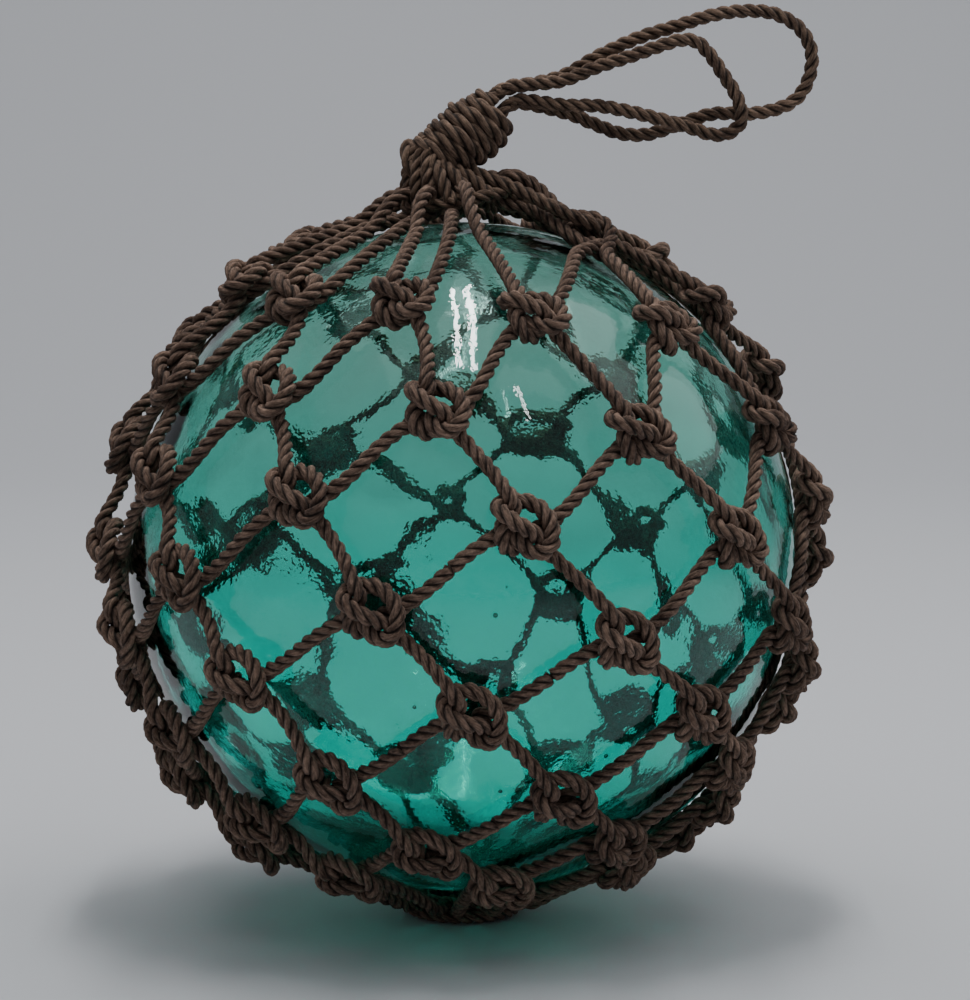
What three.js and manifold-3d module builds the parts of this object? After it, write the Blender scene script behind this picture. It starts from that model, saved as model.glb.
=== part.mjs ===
// A glass net float: a sealed ball of blown glass carried in a net of knotted rope.
// The net's top loops hang on a gathering cord. The cord's four parts rise into a bound
// neck and leave it again as two stiff hanging loops. Lengths are in millimetres, angles
// in degrees. +Z is up, the floor is the plane z = 0 and the front looks along -Y.
import * as THREE from "three";
import { ConvexGeometry } from "three/addons/geometries/ConvexGeometry.js";
import { mergeVertices } from "three/addons/utils/BufferGeometryUtils.js";
import Module from "manifold-3d";

const wasm = await Module();
wasm.setup();

// The ball, a twelve inch float, and the button of glass that seals it.
const ballRadius = 152.4;
const ballFacetCount = 7;
const sealRadius = 17;
const sealHeight = 3.2;

// The rope, and the clearance left between pieces that only touch.
const ropeDiameter = 6.4;
const touchGap = 0.3;
const seamTolerance = 0.2;
const legSides = 5;
const cordSides = 10;

// The net: how many meshes go round, and where each row of knots lies.
const meshesRound = 10;
const knotRowLatitudes = [54, 34.5, 18.5, 3, -9.5, -23.5, -38.5, -51];
const twistOfFirstRow = 18;
const twistPerRow = -3.4;
const netLeanForward = 8.2;
const netLeanRight = 3.2;
const sagOfRows = 4.2;
const sagPhase = 0.7;
const crowdingOfColumns = -2.9;
const crowdingPhase = 0.9;

// One knot, measured across, up and out from the glass.
const knotWidth = 27.5;
const knotTallness = 25.5;
const knotDepth = 17;
const knotCentreOut = 9.5;
const upperLegSpread = 3.6;
const upperLegRise = 2.5;
const lowerLegSpread = 5.5;
const lowerLegDrop = 3;
const legFreeFrom = 9.5;

// The gathering cord on top.
const gatherRadius = 23;
const gatherAcross = -2;
const gatherLift = 10.2;
const gatherTilt = 9;
const hookWidth = 12.5;
const longHookColumnIndex = 0.5;
const longHookAzimuth = 71;
const longHookRadius = 56;
const longHookOut = 7.6;

// The foundation ring below, drawn tight round its own closing knot.
const standHeight = 13.4;
const ringRadius = 24;
const ringThickness = 14;
const ringCentreUp = 6.2;
const closingKnotRadius = ringRadius - 5;
const closingKnotHalfDepth = 6.6;
const closingKnotUp = 5.5;

// The bound neck: its middle line is an arc that climbs to the right, ever steeper, and
// leans back a little all the way.
const neckStartAcross = -13.3;
const neckStartDepth = -4;
const neckLift = 18;
const neckArcLength = 37;
const neckStartSlope = 30;
const neckEndSlope = 48;
const neckLean = 14;
const neckTurnRadii = [12.4, 14.2, 15.2, 15.8, 15.8, 15.4, 14.4, 12.4];
const longBightLift = 14;

// The two hanging loops, as points across and up from the end of the neck's middle line.
const largeLoopDepth = 4.2;
const smallLoopDepth = -4.2;
const loopOutSlope = 26;
const loopBackSlope = 18;
const largeLoopPoints = [
  [30.1, 13.9], [46.2, 22.8], [64.4, 31], [82, 36.4], [98.1, 41.2], [112.4, 43], [125.4, 41.8],
  [136.8, 35.4], [142.4, 24.6], [141, 12], [135.4, 3.4], [126.3, -1], [114.2, -3], [98.4, -3],
  [84.4, -7.2], [68.8, -12.2], [56.7, -11.8], [44.8, -7.6], [34, -3.2],
];
const smallLoopPoints = [
  [29.9, 12], [46, 18.2], [61.6, 23.2], [73.6, 27.4], [83.9, 30.2], [90.4, 29.2], [96.4, 23.4],
  [102.2, 14.9], [107.4, 6.9], [110.4, -1.1], [109.8, -7.4], [104.4, -11.6], [97.4, -12],
  [88.4, -9.2], [69.8, -4], [57.7, -1.2], [46.1, 0.8], [32, 1],
];

const degrees = Math.PI / 180;
const ropeRadius = ropeDiameter / 2;
const centreUp = ballRadius + standHeight;
const topOfBall = centreUp + ballRadius;
const columnStep = 360 / meshesRound;
const rowCount = knotRowLatitudes.length;

// Turn a plain geometry into a solid that can be joined and cut.
function solidFrom(geometry) {
  const bare = geometry.clone();
  bare.deleteAttribute("normal");
  bare.deleteAttribute("uv");
  const welded = mergeVertices(bare, 1e-4);
  return new wasm.Manifold(new wasm.Mesh({
    numProp: 3,
    vertProperties: new Float32Array(welded.attributes.position.array),
    triVerts: new Uint32Array(welded.index.array),
  }));
}

// Joining leaves slivers along the seams: this drops the ones too small to see.
function tidy(solid) {
  return solid.asOriginal().simplify(seamTolerance);
}

// A cut can leave a crumb of a cord's end behind; only the cord itself is kept.
function withoutCrumbs(solid) {
  return solid.decompose().sort((a, b) => b.volume() - a.volume())[0];
}

function meshFrom(solid, name, colour) {
  const result = solid.getMesh();
  const geometry = new THREE.BufferGeometry();
  geometry.setAttribute("position", new THREE.BufferAttribute(result.vertProperties, 3));
  geometry.setIndex(new THREE.BufferAttribute(result.triVerts, 1));
  geometry.computeVertexNormals();
  const mesh = new THREE.Mesh(geometry, new THREE.MeshStandardMaterial({ color: colour }));
  mesh.name = name;
  return mesh;
}

// How far a flat-sided section reaches at its corners to be as thick as the round rope.
function sectionReach(radius, sides) {
  return radius / Math.sqrt(Math.cos(Math.PI / sides));
}

function roundSection(radius, sides) {
  const reach = sectionReach(radius, sides);
  const outline = [];
  for (let i = 0; i < sides; i += 1) {
    const turn = (2 * Math.PI * i) / sides;
    outline.push(new THREE.Vector2(reach * Math.cos(turn), reach * Math.sin(turn)));
  }
  return new THREE.Shape(outline);
}

function tube(curve, radius, sides, steps) {
  return new THREE.ExtrudeGeometry(roundSection(radius, sides), {
    steps,
    extrudePath: curve,
    bevelEnabled: false,
  });
}

// Three directions at a place on the ball: east, north and straight out.
function directionsAt(place) {
  const out = place.clone().sub(ballCentre).normalize();
  const east = new THREE.Vector3(-out.y, out.x, 0).normalize();
  const north = new THREE.Vector3().crossVectors(out, east);
  return { out, east, north };
}

function shifted(place, across, rise) {
  const { east, north } = directionsAt(place);
  return place.clone().addScaledVector(east, across).addScaledVector(north, rise);
}

const ballCentre = new THREE.Vector3(0, 0, centreUp);

// Longitude of one column in one row, with the hand-made net's uneven spacing.
function longitudeOf(row, column) {
  const wave = Math.cos(2 * columnStep * (column + crowdingPhase) * degrees);
  return twistOfFirstRow + twistPerRow * row + columnStep * column + crowdingOfColumns * wave;
}

function latitudeOf(row, column) {
  const fade = THREE.MathUtils.clamp((5.5 - row) / 2.5, 0, 1);
  const wave = Math.cos(2 * columnStep * (column + sagPhase) * degrees);
  return knotRowLatitudes[row] + sagOfRows * fade * wave;
}

function knotPlace(row, column) {
  const latitude = latitudeOf(row, column) * degrees;
  const longitude = longitudeOf(row, column) * degrees;
  const place = new THREE.Vector3(
    Math.cos(latitude) * Math.sin(longitude),
    -Math.cos(latitude) * Math.cos(longitude),
    Math.sin(latitude),
  );
  const share = THREE.MathUtils.clamp((rowCount + 1 - row) / 4, 0, 1);
  place.applyAxisAngle(new THREE.Vector3(1, 0, 0), netLeanForward * share * degrees);
  place.applyAxisAngle(new THREE.Vector3(0, 1, 0), netLeanRight * share * degrees);
  return place.multiplyScalar(ballRadius + knotCentreOut).add(ballCentre);
}

function gatherPlace(azimuth) {
  const across = gatherRadius * Math.sin(azimuth * degrees);
  const rise = across * Math.tan(gatherTilt * degrees);
  return new THREE.Vector3(
    gatherAcross + across,
    -gatherRadius * Math.cos(azimuth * degrees),
    topOfBall + gatherLift + rise,
  );
}

function longHookPlace() {
  const reach = ballRadius + longHookOut;
  return new THREE.Vector3(
    longHookRadius * Math.sin(longHookAzimuth * degrees),
    -longHookRadius * Math.cos(longHookAzimuth * degrees),
    centreUp + Math.sqrt(reach * reach - longHookRadius * longHookRadius),
  );
}

function topHookPlace(column) {
  if (Math.abs(column - longHookColumnIndex) < 0.01) {
    return longHookPlace();
  }
  return gatherPlace(longitudeOf(-1, column));
}

function ringPlace(azimuth) {
  return new THREE.Vector3(
    ringRadius * Math.sin(azimuth * degrees),
    -ringRadius * Math.cos(azimuth * degrees),
    ringCentreUp,
  );
}

// The rim of a leg where it comes free of its knot, drawn a hair wider than the leg.
function collar(from, towards) {
  const line = new THREE.LineCurve3(from, towards);
  const frames = line.computeFrenetFrames(1, false);
  const reach = 1.03 * sectionReach(ropeRadius, legSides);
  const middle = from.clone().addScaledVector(frames.tangents[0], legFreeFrom + 0.1);
  const points = [];
  for (let i = 0; i < legSides; i += 1) {
    const turn = (2 * Math.PI * i) / legSides;
    const point = middle.clone();
    point.addScaledVector(frames.normals[0], reach * Math.cos(turn));
    point.addScaledVector(frames.binormals[0], reach * Math.sin(turn));
    points.push(point);
  }
  return points;
}

// One tied knot: a lump drawn tight over the rims of its four legs.
function knot(place, rims) {
  const { out, east, north } = directionsAt(place);
  const points = rims.flat();
  for (const across of [-0.24, 0.24]) {
    for (const rise of [-0.24, 0.24]) {
      for (const depth of [-0.5, 0.5]) {
        const point = place.clone().addScaledVector(east, across * knotWidth);
        point.addScaledVector(north, rise * knotTallness);
        points.push(point.addScaledVector(out, depth * knotDepth));
      }
    }
  }
  return solidFrom(new ConvexGeometry(points));
}

// The bight of two legs where it passes round a cord.
function hookLump(place) {
  const geometry = new THREE.IcosahedronGeometry(hookWidth / 2, 0);
  geometry.translate(place.x, place.y, place.z);
  return solidFrom(geometry);
}

// One leg of rope. A long one would sink into the glass, so its middle is lifted clear.
function leg(start, end) {
  const middle = start.clone().add(end).multiplyScalar(0.5);
  const outward = middle.clone().sub(ballCentre);
  const least = ballRadius + ropeRadius + touchGap + 1;
  if (outward.length() >= least) {
    return solidFrom(tube(new THREE.LineCurve3(start, end), ropeRadius, legSides, 1));
  }
  const lifted = ballCentre.clone().add(outward.setLength(least + 0.6));
  const bend = lifted.multiplyScalar(2).sub(middle);
  const curve = new THREE.QuadraticBezierCurve3(start, bend, end);
  return solidFrom(tube(curve, ropeRadius, legSides, 2));
}

// A closed ring is drawn as two half rings that run a little into each other.
function ring(placeAt, radius, sides, stepsPerHalf) {
  const halves = [];
  for (const first of [0, 180]) {
    const points = [];
    for (let i = 0; i <= stepsPerHalf; i += 1) {
      points.push(placeAt(first - 2 + (184 * i) / stepsPerHalf));
    }
    const curve = new THREE.CatmullRomCurve3(points);
    halves.push(solidFrom(tube(curve, radius, sides, stepsPerHalf)));
  }
  return wasm.Manifold.union(halves);
}

// Everything below a level, to press a flat into what stands on it.
function below(level) {
  const block = new THREE.BoxGeometry(3 * ballRadius, 3 * ballRadius, ballRadius);
  block.translate(0, 0, level - ballRadius / 2);
  return solidFrom(block);
}

// The sealed ball, with its button of glass under the gather.
function makeBall() {
  const ball = new THREE.IcosahedronGeometry(ballRadius, ballFacetCount - 1);
  ball.translate(0, 0, centreUp);
  const seal = new THREE.CylinderGeometry(sealRadius * 0.7, sealRadius, 2 * sealHeight, 16);
  seal.rotateX(Math.PI / 2);
  seal.translate(0, 0, topOfBall - sealHeight * 0.1);
  return solidFrom(ball).add(solidFrom(seal));
}

// Where a leg starts inside its knot: an upper leg near the middle, a lower one wide.
function upperRoot(row, column, side) {
  return shifted(knotPlace(row, column), side * upperLegSpread, upperLegRise);
}

function lowerRoot(row, column, side) {
  return shifted(knotPlace(row, column), side * lowerLegSpread, -lowerLegDrop);
}

// The far end of the leg that goes up or down from a knot to one side.
function upperEnd(row, column, side) {
  const next = nearColumn(column + side / 2);
  return row === 0 ? topHookPlace(next) : lowerRoot(row - 1, next, -side);
}

function lowerEnd(row, column, side) {
  const next = nearColumn(column + side / 2);
  return row === rowCount - 1 ? ringPlace(longitudeOf(rowCount, next))
    : upperRoot(row + 1, next, -side);
}

// The net itself: knots, the legs between them, the top hooks and the foundation ring.
function makeNet(gatherCut, gatherClear) {
  const parts = [];
  for (let row = 0; row < rowCount; row += 1) {
    for (let i = 0; i < meshesRound; i += 1) {
      const column = nearColumn(i + (row % 2) / 2);
      const rims = [];
      for (const side of [-1, 1]) {
        const upper = upperRoot(row, column, side);
        const lower = lowerRoot(row, column, side);
        rims.push(collar(upper, upperEnd(row, column, side)));
        rims.push(collar(lower, lowerEnd(row, column, side)));
        parts.push(freeLeg(upper, upperEnd(row, column, side), row > 0));
        if (row === rowCount - 1) {
          parts.push(freeLeg(lower, lowerEnd(row, column, side), false));
        }
      }
      parts.push(knot(knotPlace(row, column), rims));
    }
  }
  for (let i = 0; i < meshesRound; i += 1) {
    parts.push(hookLump(topHookPlace(nearColumn(i + 0.5))));
  }
  parts.push(ring(ringPlace, ringThickness / 2, 6, 9));
  const closing = new THREE.OctahedronGeometry(1.05, 1);
  closing.scale(closingKnotRadius, closingKnotRadius, closingKnotHalfDepth);
  closing.translate(0, 0, closingKnotUp);
  parts.push(solidFrom(closing));
  const opened = tidy(tidy(wasm.Manifold.union(parts)).subtract(gatherCut));
  return opened.subtract(gatherClear).subtract(below(0));
}

// The part of a leg between its two knots, or from one knot all the way to a cord.
function freeLeg(from, to, knotAtFarEnd) {
  const along = to.clone().sub(from).normalize();
  const start = from.clone().addScaledVector(along, legFreeFrom);
  const end = knotAtFarEnd ? to.clone().addScaledVector(along, -legFreeFrom) : to;
  return leg(start, end);
}

// Columns repeat round the ball: bring one into the range where the long hook is named.
function nearColumn(column) {
  const half = meshesRound / 2;
  return column > half ? column - meshesRound : column < -half ? column + meshesRound : column;
}

// The neck's middle line: where it is and which way it points, from 0 to 1.
function neckLine(share) {
  const pieces = 24;
  const place = new THREE.Vector3(
    neckStartAcross, neckStartDepth, topOfBall + gatherLift + neckLift,
  );
  const level = Math.cos(neckLean * degrees);
  let slope = neckStartSlope * degrees;
  for (let i = 0; i < Math.round(share * pieces); i += 1) {
    slope = (neckStartSlope + ((neckEndSlope - neckStartSlope) * (i + 0.5)) / pieces) * degrees;
    place.x += (Math.cos(slope) * level * neckArcLength) / pieces;
    place.y += (Math.sin(neckLean * degrees) * neckArcLength) / pieces;
    place.z += (Math.sin(slope) * level * neckArcLength) / pieces;
  }
  slope = (neckStartSlope + (neckEndSlope - neckStartSlope) * share) * degrees;
  const along = new THREE.Vector3(
    Math.cos(slope) * level, Math.sin(neckLean * degrees), Math.sin(slope) * level,
  );
  return { place, along };
}

// One turn of the binding, filled in over the cord parts that it grips.
function neckTurn(radius, halfThickness, share) {
  const { place, along } = neckLine(share);
  const profile = [
    new THREE.Vector2(0, -halfThickness),
    new THREE.Vector2(radius - 2.4, -halfThickness),
    new THREE.Vector2(radius, -halfThickness * 0.35),
    new THREE.Vector2(radius, halfThickness * 0.35),
    new THREE.Vector2(radius - 2.4, halfThickness),
    new THREE.Vector2(0, halfThickness),
  ];
  const turn = new THREE.LatheGeometry(profile, 10);
  const spin = new THREE.Quaternion().setFromUnitVectors(new THREE.Vector3(0, 1, 0), along);
  turn.applyQuaternion(spin);
  turn.translate(place.x, place.y, place.z);
  return solidFrom(turn);
}

function makeNeck(extra) {
  const last = neckTurnRadii.length - 1;
  return tidy(wasm.Manifold.union(neckTurnRadii.map(
    (radius, i) => neckTurn(radius + extra, ropeRadius + extra, i / last),
  )));
}

// The gathering cord: a ring through the top hooks, and the parts that rise to the neck.
function makeGather(extra) {
  const radius = ropeRadius + extra;
  const parts = [ring(gatherPlace, radius, 6, 8)];
  const { place, along } = neckLine(0);
  const across = new THREE.Vector3(0, 1, 0).cross(along).normalize();
  const spread = ropeRadius * 1.25;
  for (const azimuth of [20, 100, 190, 275]) {
    const foot = gatherPlace(azimuth);
    const head = place.clone();
    head.addScaledVector(across, Math.sin(azimuth * degrees) > 0 ? spread : -spread);
    head.y += Math.cos(azimuth * degrees) > 0 ? -spread : spread;
    parts.push(solidFrom(tube(new THREE.LineCurve3(foot, head), radius, legSides, 1)));
  }
  const hook = longHookPlace();
  for (const start of [place.clone().addScaledVector(across, 4), gatherPlace(75)]) {
    const middle = start.clone().add(hook).multiplyScalar(0.5);
    const outward = middle.sub(ballCentre);
    const least = ballRadius + longBightLift;
    const bend = ballCentre.clone().add(outward.setLength(Math.max(outward.length(), least)));
    const curve = new THREE.QuadraticBezierCurve3(start, bend, hook);
    parts.push(solidFrom(tube(curve, radius, legSides, 3)));
  }
  return wasm.Manifold.union(parts);
}

// A hanging loop leaves the neck's last turn and comes back to it. Its ends lean over to the
// right, so they start a little further out, with the whole end clear of the turn.
function makeLoop(points, depth) {
  const { place, along } = neckLine(1);
  const across = new THREE.Vector3(0, 1, 0).cross(along).normalize().negate();
  const spread = ropeRadius * 1.2;
  const strand = (slope, shift, straight) => {
    const lead = new THREE.Vector3(Math.cos(slope * degrees), 0, Math.sin(slope * degrees));
    const start = place.clone();
    const tilt = Math.sin(along.angleTo(lead));
    start.addScaledVector(along, ropeRadius * (1 + tilt) + touchGap);
    start.addScaledVector(across, shift);
    start.addScaledVector(across.clone().cross(along), Math.sign(depth) * spread);
    return [0, 0.5, 1].map((share) => start.clone().addScaledVector(lead, share * straight));
  };
  const route = strand(loopOutSlope, spread, 6);
  for (const [acrossAt, upAt] of points) {
    route.push(new THREE.Vector3(place.x + acrossAt, place.y + depth, place.z + upAt));
  }
  route.push(...strand(loopBackSlope, -spread, 4.6).reverse());
  const curve = new THREE.CatmullRomCurve3(route, false, "centripetal");
  const steps = Math.round(curve.getLength() / ropeDiameter);
  return tube(curve, ropeRadius, cordSides, steps);
}

function plainMesh(geometry, name, colour) {
  const mesh = new THREE.Mesh(geometry, new THREE.MeshStandardMaterial({ color: colour }));
  mesh.name = name;
  return mesh;
}

const ropeColour = 0x6e5f57;
const cordColour = 0x7a6b62;
const glassColour = 0x2f9c86;

const float = new THREE.Group();
float.name = "glass_net_float";
const neckCut = makeNeck(touchGap + seamTolerance);
const gatherCut = makeGather(touchGap + 2 * seamTolerance);
float.add(meshFrom(makeBall(), "glass_ball", glassColour));
float.add(meshFrom(makeNet(gatherCut, makeGather(touchGap)), "net", ropeColour));
float.add(meshFrom(withoutCrumbs(makeGather(0).subtract(neckCut)), "gather_cord", cordColour));
float.add(meshFrom(makeNeck(0), "neck_binding", cordColour));
float.add(plainMesh(makeLoop(largeLoopPoints, largeLoopDepth), "hanging_loop_large", cordColour));
float.add(plainMesh(makeLoop(smallLoopPoints, smallLoopDepth), "hanging_loop_small", cordColour));

export default float;
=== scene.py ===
# %% [markdown]
# # A glass fishing float in its rope net
#
# The real thing is a hollow ball of green glass, blown by hand, in a net knotted round it from
# three-strand rope. Under the ball the net closes on a small ring. On top a gathering cord draws
# it together, rises to a short bound neck, and leaves it as two hanging loops.
#
# Everything here is worked out in metres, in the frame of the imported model, which gives the box
# that each piece has to fill.

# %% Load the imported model
import math
import bpy
import numpy as np
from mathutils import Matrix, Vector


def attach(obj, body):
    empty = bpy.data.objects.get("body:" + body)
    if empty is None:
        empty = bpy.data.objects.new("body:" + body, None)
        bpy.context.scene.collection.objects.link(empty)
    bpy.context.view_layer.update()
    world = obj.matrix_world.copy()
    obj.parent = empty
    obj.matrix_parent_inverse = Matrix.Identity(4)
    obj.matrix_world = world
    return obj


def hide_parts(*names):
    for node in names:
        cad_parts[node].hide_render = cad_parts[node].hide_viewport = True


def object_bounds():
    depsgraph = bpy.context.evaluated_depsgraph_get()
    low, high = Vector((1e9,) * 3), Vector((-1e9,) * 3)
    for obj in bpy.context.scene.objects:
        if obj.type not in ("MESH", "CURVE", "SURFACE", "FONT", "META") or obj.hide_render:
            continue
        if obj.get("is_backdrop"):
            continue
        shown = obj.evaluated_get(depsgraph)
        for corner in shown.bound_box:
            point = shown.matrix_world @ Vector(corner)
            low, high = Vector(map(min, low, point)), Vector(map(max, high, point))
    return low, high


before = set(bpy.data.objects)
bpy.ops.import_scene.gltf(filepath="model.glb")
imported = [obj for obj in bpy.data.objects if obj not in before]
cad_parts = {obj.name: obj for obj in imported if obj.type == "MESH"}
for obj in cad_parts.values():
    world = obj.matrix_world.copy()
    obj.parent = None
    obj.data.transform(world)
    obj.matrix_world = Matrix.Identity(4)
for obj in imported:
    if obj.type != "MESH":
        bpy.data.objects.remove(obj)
cad_low, cad_high = (np.array(corner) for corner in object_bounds())
print("packed box, mm:", np.round(1000 * cad_low, 1), np.round(1000 * cad_high, 1))

# %% [markdown]
# ## Camera
#
# The view is from in front and a little above. The distance and the lens were found by fitting
# the round outline of the glass and forty knots of the net at once, so that near and far knots
# both fall where they should.

# %% Camera at the fitted place
MM = 0.001
camera_data = bpy.data.cameras.new("front_camera")
camera_data.sensor_width = 36
camera_data.lens = 136.8
camera_data.clip_end = 50
camera = bpy.data.objects.new("front_camera", camera_data)
camera.location = (10.0 * MM, -1712.0 * MM, 416.9 * MM)
camera.rotation_euler = (math.radians(82.5), 0, 0)
bpy.context.scene.collection.objects.link(camera)
bpy.context.scene.camera = camera
print("lens, mm:", camera_data.lens)

# %% [markdown]
# ## Sizes of the real float
#
# The ball and the rope come first, because every other piece is placed by them.

# %% Sizes
ball_radius = 152.4 * MM
stand_height = 13.4 * MM
centre_up = ball_radius + stand_height
top_of_ball = centre_up + ball_radius
ball_centre = np.array([0.0, 0.0, centre_up])
rope = 6.4 * MM
rope_radius = rope / 2
touch_gap = 0.3 * MM
lay_length = 17.5 * MM

# %% [markdown]
# ## A smooth line through a few points
#
# A rope never has a corner. Each route is given by a few points, and a cubic line is drawn
# through them whose slopes take the uneven spacing of the points into account, so that it
# neither loops nor overshoots where two points lie close together.

# %% A line through points, and even steps along it
def smooth_line(points, closed=False, per_piece=14):
    """Between two points the line is the cubic that meets both with the slopes of a
    Catmull-Rom curve whose knots are spaced by the square root of the distance."""
    p = np.asarray(points, float)
    if closed:
        before, start, end, after = np.roll(p, 1, 0), p, np.roll(p, -1, 0), np.roll(p, -2, 0)
    else:
        longer = np.vstack([2 * p[0] - p[1], p, 2 * p[-1] - p[-2]])
        before, start, end, after = longer[:-3], longer[1:-2], longer[2:-1], longer[3:]

    def gap(a, b):
        """The square root of the distance."""
        return np.maximum(np.linalg.norm(b - a, axis=1, keepdims=True), 1e-9) ** 0.5

    d0, d1, d2 = gap(before, start), gap(start, end), gap(end, after)
    rise0 = ((start - before) / d0 - (end - before) / (d0 + d1) + (end - start) / d1) * d1
    rise1 = ((end - start) / d1 - (after - start) / (d1 + d2) + (after - end) / d2) * d1
    t = (np.arange(per_piece) / per_piece)[:, None, None]
    line = (2 * t**3 - 3 * t**2 + 1) * start + (t**3 - 2 * t**2 + t) * rise0
    line = line + (3 * t**2 - 2 * t**3) * end + (t**3 - t**2) * rise1
    line = line.transpose(1, 0, 2).reshape(-1, 3)
    return line if closed else np.vstack([line, p[-1]])


def even_steps(line, step, closed=False):
    """The same line again with its points a fixed step apart, read off against its length."""
    whole = np.vstack([line, line[:1]]) if closed else line
    length = np.append(0, np.cumsum(np.linalg.norm(np.diff(whole, axis=0), axis=1)))
    count = max(int(round(length[-1] / step)), 6)
    at = np.linspace(0, length[-1], count + 1)
    at = at[:-1] if closed else at
    return np.stack([np.interp(at, length, whole[:, k]) for k in range(3)], 1), length[-1]

# %% [markdown]
# ## Putting worked-out points into a mesh
#
# All shapes below are arrays. One helper hands them to Blender in whole blocks, with any number
# per point that a finish needs later, such as how deep a point lies between two strands.

# %% From arrays to an object
def mesh_piece(name, points, faces, per_point, material):
    """points is n by 3. faces is a list of arrays, each m by corners. per_point maps a name to
    one number or three numbers for every point."""
    mesh = bpy.data.meshes.new(name)
    mesh.vertices.add(len(points))
    mesh.vertices.foreach_set("co", np.asarray(points, np.float32).ravel())
    corners = np.concatenate([f.ravel() for f in faces]).astype(np.int32)
    sides = np.concatenate([np.full(len(f), f.shape[1]) for f in faces]).astype(np.int32)
    mesh.loops.add(len(corners))
    mesh.loops.foreach_set("vertex_index", corners)
    mesh.polygons.add(len(sides))
    mesh.polygons.foreach_set("loop_start", np.append(0, np.cumsum(sides)[:-1]).astype(np.int32))
    mesh.polygons.foreach_set("use_smooth", np.ones(len(sides), bool))
    for label, values in per_point.items():
        flat = np.ndim(values) == 1
        store = mesh.attributes.new(label, "FLOAT" if flat else "FLOAT_VECTOR", "POINT")
        store.data.foreach_set("value" if flat else "vector", np.ravel(values).astype(np.float32))
    mesh.update(calc_edges=True)
    mesh.validate()
    piece = bpy.data.objects.new(name, mesh)
    bpy.context.scene.collection.objects.link(piece)
    mesh.materials.append(material)
    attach(piece, "root")
    triangles = int((sides - 2).sum())
    print(f"{name}: {len(points)} points, {triangles} triangles")
    return piece

# %% [markdown]
# ## Three strands laid into a rope
#
# The rope is three strands twisted to the right, like the middle stroke of a Z, once round in
# under three thicknesses. Its section is three circles that overlap in the middle. A
# grid does this well: along the route in one direction, round the section in the other, with the
# section turning as it goes. That gives the real valleys between the strands, which a bump could
# only shade.

# %% The section of the rope
corners_round = 18
strand_out = 1.55 * MM
strand_radius = 1.65 * MM
yarn_slant = 0.35
yarn_stretch = 0.12


def skin_reach(turn):
    """How far the skin is from the middle at an angle: the far side of the nearest of three
    circles, by the rule of cosines. It is least in the valley, half way between two strands."""
    off = (turn + math.pi / 3) % (2 * math.pi / 3) - math.pi / 3
    return strand_out * np.cos(off) + np.sqrt(strand_radius**2 - (strand_out * np.sin(off)) ** 2)


# %% Directions across a route
def unit(v):
    """Each direction divided by its own length."""
    return v / np.maximum(np.linalg.norm(v, axis=-1, keepdims=True), 1e-12)


def directions_along(line, closed):
    """A forward and a sideways direction at each point, where the sideways one never spins
    about the line. Any sideways direction is taken first. The angle by which it turns from each
    point to the next is measured, added up along the line and taken off again."""
    if closed:
        forward = unit(np.roll(line, -1, 0) - np.roll(line, 1, 0))
    else:
        forward = unit(np.gradient(line, axis=0))
    axis = np.eye(3)[np.argmin(np.abs(forward), axis=1)]
    side = unit(np.cross(forward, axis))
    after_f, after_s = (np.roll(forward, -1, 0), np.roll(side, -1, 0)) if closed else (
        forward[1:], side[1:])
    now_f, now_s = (forward, side) if closed else (forward[:-1], side[:-1])
    cosine = (now_f * after_f).sum(1, keepdims=True)
    hinge = np.cross(now_f, after_f)
    carried = now_s * cosine + np.cross(hinge, now_s)
    carried = carried + hinge * (hinge * now_s).sum(1, keepdims=True) / (1 + cosine)
    turned = np.arctan2((np.cross(carried, after_s) * after_f).sum(1), (carried * after_s).sum(1))
    total = np.append(0, -np.cumsum(turned))
    spin = total[:len(line)]
    rest = total[-1] if closed else 0.0
    other = np.cross(forward, side)
    steady = side * np.cos(spin)[:, None] + other * np.sin(spin)[:, None]
    return forward, steady, rest


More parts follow.
